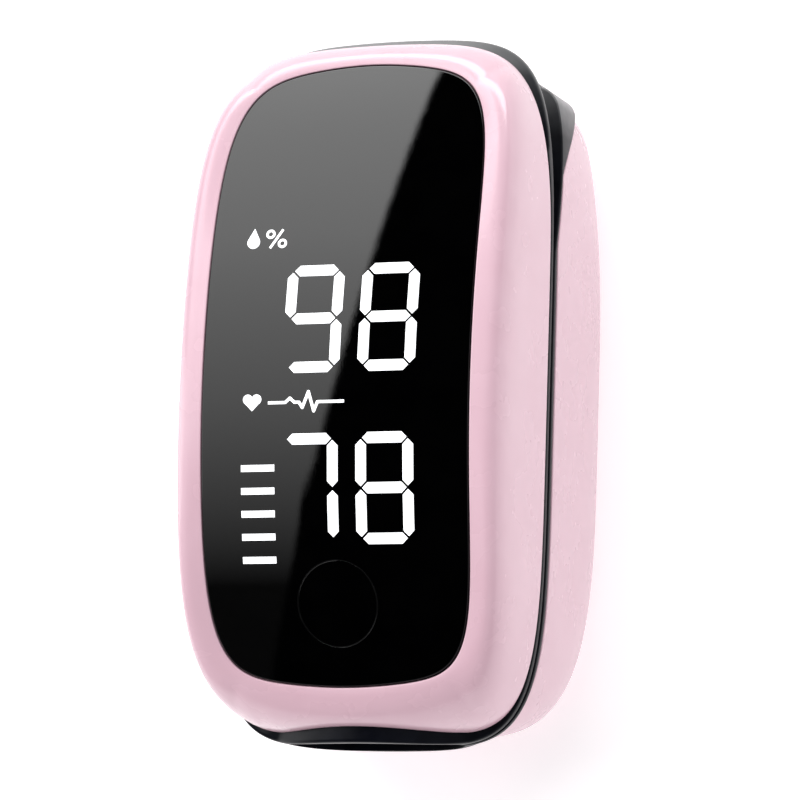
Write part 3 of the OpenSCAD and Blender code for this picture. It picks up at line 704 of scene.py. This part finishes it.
def make_battery_door():
    """The flat underside with its rolled edge, grip grooves and hooked toes."""
    rows = []
    for k in range(RING_N):
        p, o = base_point(k), low_shell_point(k)
        zo = -rim_low(*o)
        cut = belly_cut(zo, DOOR_Z, BASE_Z)
        path = [wall_point(p, o, BASE_Z, zo, cut * j / 10, BELLY_P) for j in range(11)]
        middle = [(p[0] * s, (p[1] - MID_Y) * s + MID_Y, BASE_Z) for s in (0.02, 0.4, 0.8, 0.97)]
        lid = [(p[0] * s, (p[1] - MID_Y) * s + MID_Y, DOOR_Z) for s in (0.9, 0.4, 0.02)]
        rows.append(fillet(middle + path + lid, {len(middle) + 10: 0.12}))
    columns = [list(c) for c in zip(*rows)]
    piece = grid_mesh("battery_cover", columns, False, True)
    grips = []
    for i in range(GRIPS):
        y, z = GRIP_Y + GRIP_STEP * i, BASE_Z - GRIP_DROP
        grips.append(rod_piece(GRIP_R, (-GRIP_HALF_W, y, z), (GRIP_HALF_W, y, z), 32))
    piece = combine(piece, grips, "DIFFERENCE")
    toes = []             # each is a stem with a hook that reaches outwards over the floor
    for side in (-1, 1):
        for y in TOE_Y:
            for reach, low, high in ((1, DOOR_Z - 0.4, FLOOR_TOP + 0.7),
                                     (2.4, FLOOR_TOP + 0.15, FLOOR_TOP + 0.75)):
                x0, x1 = sorted((side * TOE_X, side * (TOE_X + reach)))
                toes.append(box_piece(x0, x1, y, y + TOE_L, low, high))
    return smooth(combine(piece, toes, "UNION"))


finish(make_upper_shell(), PINK, "upper_half", "shell_pink", "upper_shell")
finish(make_lower_shell(), PINK, "lower_half", "shell_pink", "lower_shell")
finish(make_battery_door(), PINK, "door", "shell_pink", "battery_door")


# ---- window and key -----------------------------------------------------------------------------

def make_window():
    """Curved plate with rolled edges and the key's round hole."""
    hole = BUTTON_R + 0.04
    steps = 36
    rows = []
    for k in range(RING_N):
        x, y = window_point(k, WINDOW_GAP)
        reach = math.hypot(x, y - BUTTON_Y)
        hx, hy = hole * x / reach, BUTTON_Y + hole * (y - BUTTON_Y) / reach
        top = [(hx + (x - hx) * j / steps, hy + (y - hy) * j / steps) for j in range(steps + 1)]
        path = [(a, b, crown(b)) for a, b in top]
        path += [(a, b, crown(b) - WINDOW_T) for a, b in (top[-1], top[0])]
        rows.append(fillet(path, {0: 0.03, steps: 0.08, steps + 1: 0.1, steps + 2: 0.1},
                           4, 0.03))
    return smooth(grid_mesh("window", rows, True, True), 50)


def make_key():
    """Round key whose face follows the window, with a rolled rim and a plunger."""
    sides, low, recess = 96, button_low[2] - PART_Z, 0.01
    base = low + 0.25
    rows = []
    for j in range(sides):
        a = 2 * math.pi * j / sides
        c, s = math.cos(a), math.sin(a)

        def spot(r, z=None):
            y = BUTTON_Y + r * s
            return (r * c, y, crown(y) - recess if z is None else z)

        path = [spot(0.02)] + [spot(BUTTON_R * i / 8) for i in range(1, 9)]
        path += [spot(BUTTON_R, base), spot(1.0, base), spot(1.0, low), spot(0.02, low)]
        rows.append(fillet(path, {8: 0.03, 9: 0.15, 11: 0.1}, 4, 0.03))
    columns = [list(c) for c in zip(*rows)]
    return smooth(grid_mesh("key", columns, False, True), 50)


finish(make_window(), GLASS, "upper_half", "glass_black", "display_window")
finish(make_key(), KEY, "power_key", "key_black", "power_button")


# ---- frames -------------------------------------------------------------------------------------

def soft_step(v, width):
    """A ramp of slope 1 above zero, rounded over the width."""
    if v <= -width:
        return 0.0
    if v >= width:
        return v
    return (v + width) ** 2 / (4 * width)


def meet_soft(y):
    """The lower frame's meeting face as meet_low, with its bend rounded."""
    return HALF_GAP + soft_step(y - HINGE_Y - 0.4, 0.8) * math.tan(GAP_ANGLE)


INSETS = (1.45, 1.62, 2.3, 5.0, 8.0, 11.0, 13.9)     # of the points across a frame
FOOT_POINTS = 3           # the first of them shape the step behind the shell's wall


def frame_slab(name, near, rim, body, foot, lower):
    """A frame before its cuts: a band round the outline and a thicker middle behind the shell."""
    sign = -1 if lower else 1
    outline = low_frame_point if lower else frame_point
    rows = []
    for k in range(RING_N):
        x, y = outline(k)
        path = [(x, y, near(x, y)), (x, y, rim(x, y))]
        # at the front the step stands further in, behind the shell's sloping wall
        push = 1.2 * clamp01((-y - 18) / 6)
        steps = [inset + (push if i < FOOT_POINTS else 0) for i, inset in enumerate(INSETS)]
        for i, inset in enumerate(steps):
            a, b = outline(k, inset)
            if i == 0:
                path.append((a, b, rim(a, b)))
            elif i < FOOT_POINTS:
                path.append((a, b, rim(a, b) + foot))
            else:
                path.append((a, b, body(a, b)))
        for inset in reversed(steps[:-1]):
            a, b = outline(k, inset)
            path.append((a, b, near(a, b)))
        path = [(a, b, sign * z) for a, b, z in path]
        rows.append(fillet(path, {0: 0.18, 1: 0.3, 2: 0.1}, 5))
    return grid_mesh(name, rows, True, True)


def channel_cutter(depth, lower):
    """The finger channel as a solid, running out of the front end."""
    sign = -1 if lower else 1
    front, end = -33, CHANNEL_END - 0.04
    ys = [front + (CHANNEL_ROUND - front) * i / 10 for i in range(11)]
    ys += [CHANNEL_ROUND + (end - CHANNEL_ROUND) * (1 - (1 - i / 40) ** 2)
           for i in range(1, 41)]
    rows = []
    for y in ys:
        f = max(0.02, channel_fill(y))
        w, d = CHANNEL_W * (0.4 + 0.6 * f), depth * f
        arc = [(w * math.cos(math.pi * j / 48), y, sign * d * math.sin(math.pi * j / 48))
               for j in range(49)]
        rows.append(arc + [(-w, y, -sign * 2), (w, y, -sign * 2)])
    return grid_mesh("cutter", rows, False, True)


def lug_pieces(x0, x1, z0, z1):
    """A pair of hinge lugs: a rod on the axis and a block between the heights z0 and z1."""
    out = []
    for side in (-1, 1):
        a, b = sorted((side * x0, side * x1))
        out.append(rod_piece(LUG_R, (a, HINGE_Y, 0), (b, HINGE_Y, 0)))
        out.append(box_piece(a, b, HINGE_Y - LUG_R + 0.1, HINGE_Y + LUG_R - 0.1, z0, z1))
    return out


def screw_holes(places, head_z, end_z):
    """Stepped holes for screws whose heads lie between two heights."""
    low, high = head_z
    out = []
    for x, y in places:
        out.append(rod_piece(SCREW_HEAD_R, (x, y, low), (x, y, high), 32))
        out.append(rod_piece(SCREW_R, (x, y, min(low, end_z)), (x, y, max(high, end_z)), 32))
    return out


def make_upper_frame():
    def body(x, y):
        return max(SHOULDER_D, channel_d(x, y, CHANNEL_W + 1, CHANNEL_UP + 1))

    piece = frame_slab("upper_chassis", lambda x, y: HALF_GAP, band_top, body, foot=1.4,
                       lower=False)
    # the finger channel, bays for lugs and coil, slots for the spring's leg and the ribbon
    cuts = [channel_cutter(CHANNEL_UP, False),
            box_piece(-BAY_W, BAY_W, HINGE_Y - BAY, HINGE_Y + BAY, -1, 2.6),
            box_piece(-COIL_BAY_W, COIL_BAY_W, HINGE_Y - BAY + 0.2, HINGE_Y + BAY - 0.2, -1, 3.4),
            box_piece(LEG_GROOVE_X[0], COIL_BAY_W, HINGE_Y, HINGE_Y + LEG_GROOVE_L, -1, 2.75),
            box_piece(*RIBBON_SLOT, HINGE_Y - BAY, 9, 1, 4)]
    piece = combine(piece, cuts, "DIFFERENCE", "MANIFOLD")
    piece = combine(piece, lug_pieces(*UPPER_LUG, z0=0.7, z1=2.8), "UNION", "MANIFOLD")
    holes = [rod_piece(PIN_R + 0.05, (-PIN_HOLE_END, HINGE_Y, 0), (PIN_HOLE_END, HINGE_Y, 0)),
             rod_piece(LENS_HOLE_R, (0, SENSOR_Y, 0), (0, SENSOR_Y, 9))]
    holes += screw_holes(UPPER_SCREWS, head_z=(-1, 1.3), end_z=5)
    return smooth(combine(piece, holes, "DIFFERENCE", "MANIFOLD"), 32)


def make_lower_frame():
    def rim(x, y):
        return max(rim_low(x, y) - SEAM, meet_soft(y) + 0.3)

    def body(x, y):
        deep = 4.05 if y > 5 else 2.9        # thicker where the bay for the hinge is cut
        if y > 26:                           # the rear end follows the shell's edge
            deep = rim(x, y) + 1.2
        return max(deep, channel_d(x, y, CHANNEL_W + 1, CHANNEL_DOWN + 0.85), meet_soft(y) + 0.3)

    piece = frame_slab("lower_chassis", lambda x, y: meet_soft(y), rim, body, foot=1.2,
                       lower=True)
    # the finger channel, a bay for lugs and coil, slots for the spring's leg and the ribbon
    cuts = [channel_cutter(CHANNEL_DOWN, True),
            box_piece(-BAY_W, BAY_W, HINGE_Y - BAY, HINGE_Y + BAY, -3.3, 1),
            box_piece(-COIL_BAY_W, -LEG_GROOVE_X[1], HINGE_Y, HINGE_Y + LEG_GROOVE_L, -3.5, 1),
            box_piece(*RIBBON_SLOT, HINGE_Y - BAY, 9, -5, -1)]
    piece = combine(piece, cuts, "DIFFERENCE", "MANIFOLD")
    piece = combine(piece, lug_pieces(*LOWER_LUG, z0=-3.6, z1=-0.7), "UNION", "MANIFOLD")
    holes = [rod_piece(PIN_R, (-PIN_END, HINGE_Y, 0), (PIN_END, HINGE_Y, 0)),
             rod_piece(LENS_HOLE_R, (0, SENSOR_Y, -9), (0, SENSOR_Y, 0))]
    holes += screw_holes(LOWER_SCREWS, head_z=(-1.3, 1), end_z=-8)
    return smooth(combine(piece, holes, "DIFFERENCE", "MANIFOLD"), 32)


finish(make_upper_frame(), FRAME, "upper_half", "frame_dark", "upper_frame")
finish(make_lower_frame(), FRAME, "lower_half", "frame_dark", "lower_frame")


# ---- pads ---------------------------------------------------------------------------------------

def make_pad(name, depth, lower):
    """Silicone lining: a thin shell with a rolled edge and low cross ribs for grip."""
    sign = -1 if lower else 1
    rear, count = CHANNEL_END - 0.45, 150
    rows = []
    for i in range(count + 1):
        u = i / count
        y = PAD_FRONT + (rear - PAD_FRONT) * u
        f = max(0.1, channel_fill(y + 0.1))
        g = max(0.05, channel_fill(y + PAD_T + 0.3))
        end = math.sqrt(max(0.0, 1 - (1 - clamp01(u / 0.012)) ** 2))
        thick = PAD_T * (0.35 + 0.65 * end)
        rib = 0.0
        if RIBS_FRONT < y < RIBS_REAR:
            rib = RIB_H * max(0.0, math.sin(2 * math.pi * y / RIB_PITCH)) ** 2
        wo, wi = (CHANNEL_W - PAD_FIT) * (0.4 + 0.6 * f), (CHANNEL_W - thick) * (0.4 + 0.6 * g)
        outer = [(wo * math.cos(a), y, max(HALF_GAP, depth * f * math.sin(a) - PAD_FIT))
                 for a in (math.pi * (1 - j / 36) for j in range(37))]
        inner = []
        for j in range(37):
            a = math.pi * j / 36
            lift = rib * math.sin(a) ** 2
            inner.append(((wi - 0.05) * math.cos(a), y,
                          HALF_GAP + (depth - thick - HALF_GAP) * g * math.sin(a) * 0.98 - lift))
        path = [(a, b, sign * c) for a, b, c in outer + inner]
        rows.append(fillet(path, {0: 0.2, 36: 0.2, 37: 0.2, 73: 0.2}, 3))
    piece = grid_mesh(name, rows, False, True)
    hole = rod_piece(LENS_HOLE_R, (0, SENSOR_Y, 0), (0, SENSOR_Y, sign * 9))
    piece = combine(piece, [hole], "DIFFERENCE")
    return smooth(piece, 40)


upper_lining = finish(make_pad("upper_lining", CHANNEL_UP, False), SILICONE, "upper_half",
                      "silicone_dark", "upper_pad")
lower_lining = finish(make_pad("lower_lining", CHANNEL_DOWN, True), SILICONE, "lower_half",
                      "silicone_dark", "lower_pad")


# ---- spring and ribbon --------------------------------------------------------------------------

def make_spring():
    """Torsion spring: six turns, a low leg on the left and a high leg on the right."""
    turns, per_turn = 6, 48
    pitch = 2 * WIRE_R + 0.12
    x0 = -turns * pitch / 2

    def on_coil(x, angle):
        return (x, HINGE_Y + COIL_R * math.cos(angle), COIL_R * math.sin(angle))

    start = -math.pi / 2
    coil = [on_coil(x0 + pitch * i / per_turn, start - 2 * math.pi * i / per_turn)
            for i in range(turns * per_turn + 1)]
    half_turn = [on_coil(0.1 - x0, start - 2 * math.pi * i / per_turn)
                 for i in range(2, per_turn // 2 + 1, 2)]
    low_leg = curve_through([(x0 - 0.1, HINGE_Y + 8.5, -2.9), (x0 - 0.08, HINGE_Y + 5.5, -2.75),
                             (x0 - 0.05, HINGE_Y + 3, -COIL_R)], 6)
    high_leg = curve_through([(0.15 - x0, HINGE_Y + 3.5, 2.2), (0.15 - x0, HINGE_Y + 6, 2.05),
                              (0.15 - x0, HINGE_Y + 8.5, 1.9)], 6)
    return sweep_wire("torsion_spring", low_leg + coil + half_turn + high_leg, WIRE_R)


def make_ribbon():
    """Flat polyimide ribbon past the hinge."""
    line = curve_through([(0, 8.1, 6.6), (0, 7.75, 5.4), (0, 7.95, 3.2), (0, 8.3, 1),
                          (0, 8.3, -1), (0, 7.9, -3.1)], 10)
    rows = []
    for i, point in enumerate(line):
        ahead, behind = line[min(i + 1, len(line) - 1)], line[max(i - 1, 0)]
        across = (ahead - behind).normalized().cross(Vector((1, 0, 0))) * 0.09
        left, right = [Vector((x, point.y, point.z)) for x in RIBBON_X]
        path = [left + across, right + across, right - across, left - across]
        rows.append(fillet(path, {0: 0.06, 1: 0.06, 2: 0.06, 3: 0.06}, 2))
    return smooth(grid_mesh("ribbon", rows, False, True), 50)


spring = finish(make_spring(), SPRING_STEEL, None, "spring_steel", "clamp_spring")
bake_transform(spring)
ribbon = finish(make_ribbon(), FLEX, None, "flex_amber", "flex_cable")
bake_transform(ribbon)


# ---- carried-over CAD nodes ---------------------------------------------------------------------

left_low, left_high = node_box("battery_left")
CAD_LOOKS = {
    LIT: ("lit_digits", "pulse_bars", "heart_mark", "unit_marks"),
    plain_plastic("display_block", (0.012, 0.012, 0.013), (0.03, 0.03, 0.032)): ("led_display",),
    circuit_board(): ("main_board", "sensor_board"),
    plain_plastic("chip_package", (0.012, 0.012, 0.013), (0.028, 0.028, 0.03), 0.5):
        ("controller_chip",),
    plain_plastic("ceramic_parts", (0.34, 0.24, 0.14), (0.48, 0.36, 0.22), 0.4): ("board_parts",),
    DRAWN_STEEL: ("dome_switch", "upper_screws", "lower_screws", "hinge_pin"),
    plain_plastic("emitter_ceramic", (0.7, 0.68, 0.6), (0.82, 0.8, 0.73), 0.3, 0.3):
        ("light_emitter",),
    clear_lens(): ("emitter_lens", "sensor_lens"),
    plain_plastic("diode_epoxy", (0.02, 0.008, 0.025), (0.05, 0.02, 0.06), 0.2, 0.4):
        ("photodiode",),
    plain_plastic("carrier_plastic", (0.015, 0.015, 0.017), (0.035, 0.035, 0.04), 0.5):
        ("battery_tray",),
    cell_wrap(left_low[1], left_high[1], False): ("battery_left",),
    cell_wrap(left_low[1], left_high[1], True): ("battery_right",),
    SPRING_STEEL: ("battery_springs",),
    metal("plated_contact", (0.55, 0.4, 0.12), (0.72, 0.56, 0.22), (1, 1, 0.3), 0.25):
        ("battery_contact",),
}
for material, names in CAD_LOOKS.items():
    for name in names:
        node = frame["nodes"][name]
        node.data.materials.clear()
        node.data.materials.append(material)


# ---- camera -------------------------------------------------------------------------------------

YAW, PITCH, ROLL = math.radians(20.837), math.radians(-8.694), math.radians(1.813)
DISTANCE = 378.2          # from the middle of the parting plane, in millimetres
FOCAL = 204.4             # on a 36 mm sensor
AIM_RIGHT, AIM_UP = 0.00257, 0.00018

back = Vector((math.sin(YAW) * math.cos(PITCH), math.sin(PITCH), math.cos(YAW) * math.cos(PITCH)))
level = Vector((0, 1, 0)).cross(back).normalized()
upright = back.cross(level)
right = math.cos(ROLL) * level + math.sin(ROLL) * upright
top = math.cos(ROLL) * upright - math.sin(ROLL) * level
centre = Vector((0, MID_Y, PART_Z))
eye = centre + DISTANCE * back
axis = (back - AIM_RIGHT * right - AIM_UP * top).normalized()
side = top.cross(axis).normalized()
lens = bpy.data.cameras.new("camera")
lens.lens = FOCAL
lens.sensor_width = 36
lens.clip_start, lens.clip_end = 0.01, 20
camera = bpy.data.objects.new("camera", lens)
turn = Matrix((side, axis.cross(side), axis)).transposed()
camera.matrix_world = Matrix.Translation(eye * MM) @ turn.to_4x4()
bpy.context.scene.collection.objects.link(camera)
bpy.context.scene.camera = camera


# ---- floor, light and reflections ---------------------------------------------------------------

def flat_card(name, corners_mm, material):
    """A flat panel through corners given in millimetres over the floor."""
    mesh = bpy.data.meshes.new(name)
    mesh.from_pydata([Vector(c) * MM for c in corners_mm], [], [tuple(range(len(corners_mm)))])
    card = bpy.data.objects.new(name, mesh)
    mesh.materials.append(material)
    bpy.context.scene.collection.objects.link(card)
    return card


def only_in_reflections(card):
    card.visible_camera = False
    card.visible_diffuse = False
    card.visible_transmission = False
    card.visible_shadow = False
    card.visible_volume_scatter = False


def floor_material():
    m = Nodes("pale_floor")
    m.colour(m.noise(0.01, 2), (0.86, 0.86, 0.86), (0.88, 0.88, 0.88))
    m.set(Roughness=0.9, Emission_Color=(1, 1, 1, 1), Emission_Strength=0.5)
    return m.material


def glow_material(name, strength):
    m = Nodes(name)
    m.set(Base_Color=(0, 0, 0, 1), Emission_Color=(1, 1, 1, 1), Emission_Strength=strength)
    return m


def reflect_to(x, y, height):
    """Where the camera's ray off the window at x, y meets a level plane at the height."""
    z = crown(y) + PART_Z
    point = Vector((x, y, z))
    normal = Vector((0, (y - CROWN_Y) / CROWN_R, 1)).normalized()
    view = (eye - point).normalized()
    ray = 2 * view.dot(normal) * normal - view
    return point + ray * ((height - z) / ray.z)


flat_card("floor", [(-2500, -2500, 0), (2500, -2500, 0), (2500, 2500, 0), (-2500, 2500, 0)],
          floor_material())

CARD_HEIGHT, CARD_W, EDGE_STEPS = 420, 260, 24
edge_ys = [-27 + 59 * i / EDGE_STEPS for i in range(EDGE_STEPS + 1)]
# The card's right edge is where the window shows a straight slanted line
line = [reflect_to(0.25 + 0.25 * y - 0.0006 * y * y, y, CARD_HEIGHT) for y in edge_ys]
far = [Vector((p.x - CARD_W, p.y, p.z)) for p in line]
glow = glow_material("grey_card", 1.0)
along = glow.tree.nodes.new("ShaderNodeSeparateXYZ")
glow.link(glow.place, along.inputs["Vector"])
fade = glow.span(along.outputs["Y"], 0.0, 1.0, line[4].y * MM, line[22].y * MM)
shades = ((0.0, 0.0), (0.25, 0.4), (0.5, 0.72), (1.0, 1.0))
glow.link(glow.ramp(fade, *[(at, (v, v, v)) for at, v in shades]),
          glow.shader.inputs["Emission Color"])
glow.set(Emission_Strength=4.6)
card = flat_card("grey_card", line + far[::-1], glow.material)
only_in_reflections(card)

dark = glow_material("dark_card", 0.0)
dark.set(Roughness=1.0, Specular_IOR_Level=0.0)
flag = flat_card("dark_card", [(-420, -320, 430), (60, -320, 430), (60, 700, 430),
                               (-420, 700, 430)], dark.material)
only_in_reflections(flag)


def area_light(name, place_mm, size_mm, power, aim_mm=(0, 0, 12), colour=(1, 1, 1), gloss=True):
    light = bpy.data.lights.new(name, "AREA")
    light.shape = "RECTANGLE"
    light.size, light.size_y = size_mm[0] * MM, size_mm[1] * MM
    light.energy = power
    light.color = colour
    lamp = bpy.data.objects.new(name, light)
    lamp.location = Vector(place_mm) * MM
    toward = (Vector(aim_mm) - Vector(place_mm)).normalized()
    lamp.rotation_euler = toward.to_track_quat("-Z", "Y").to_euler()
    lamp.visible_glossy = gloss
    bpy.context.scene.collection.objects.link(lamp)
    return lamp


rear_glow = glow_material("rear_card", 7.0)
only_in_reflections(flat_card("rear_card", [(-320, 520, 90), (320, 520, 90), (320, 520, 290),
                                            (-320, 520, 290)], rear_glow.material))

area_light("overhead", (-160, 300, 690), (600, 600), 3.35, gloss=False)
area_light("right_side", (520, 60, 260), (160, 520), 0.1)
area_light("left_side", (-520, 40, 220), (160, 520), 0.8)
area_light("rear_strip", (40, 560, 200), (520, 120), 0.8)
area_light("front_strip", (60, -560, 220), (520, 120), 0.3, gloss=False)

world = bpy.data.worlds.new("studio")
bpy.context.scene.world = world
world.use_nodes = True
world.node_tree.nodes["Background"].inputs["Color"].default_value = (0.95, 0.97, 1.0, 1)
world.node_tree.nodes["Background"].inputs["Strength"].default_value = 0.34
bpy.context.scene.view_settings.view_transform = "Standard"
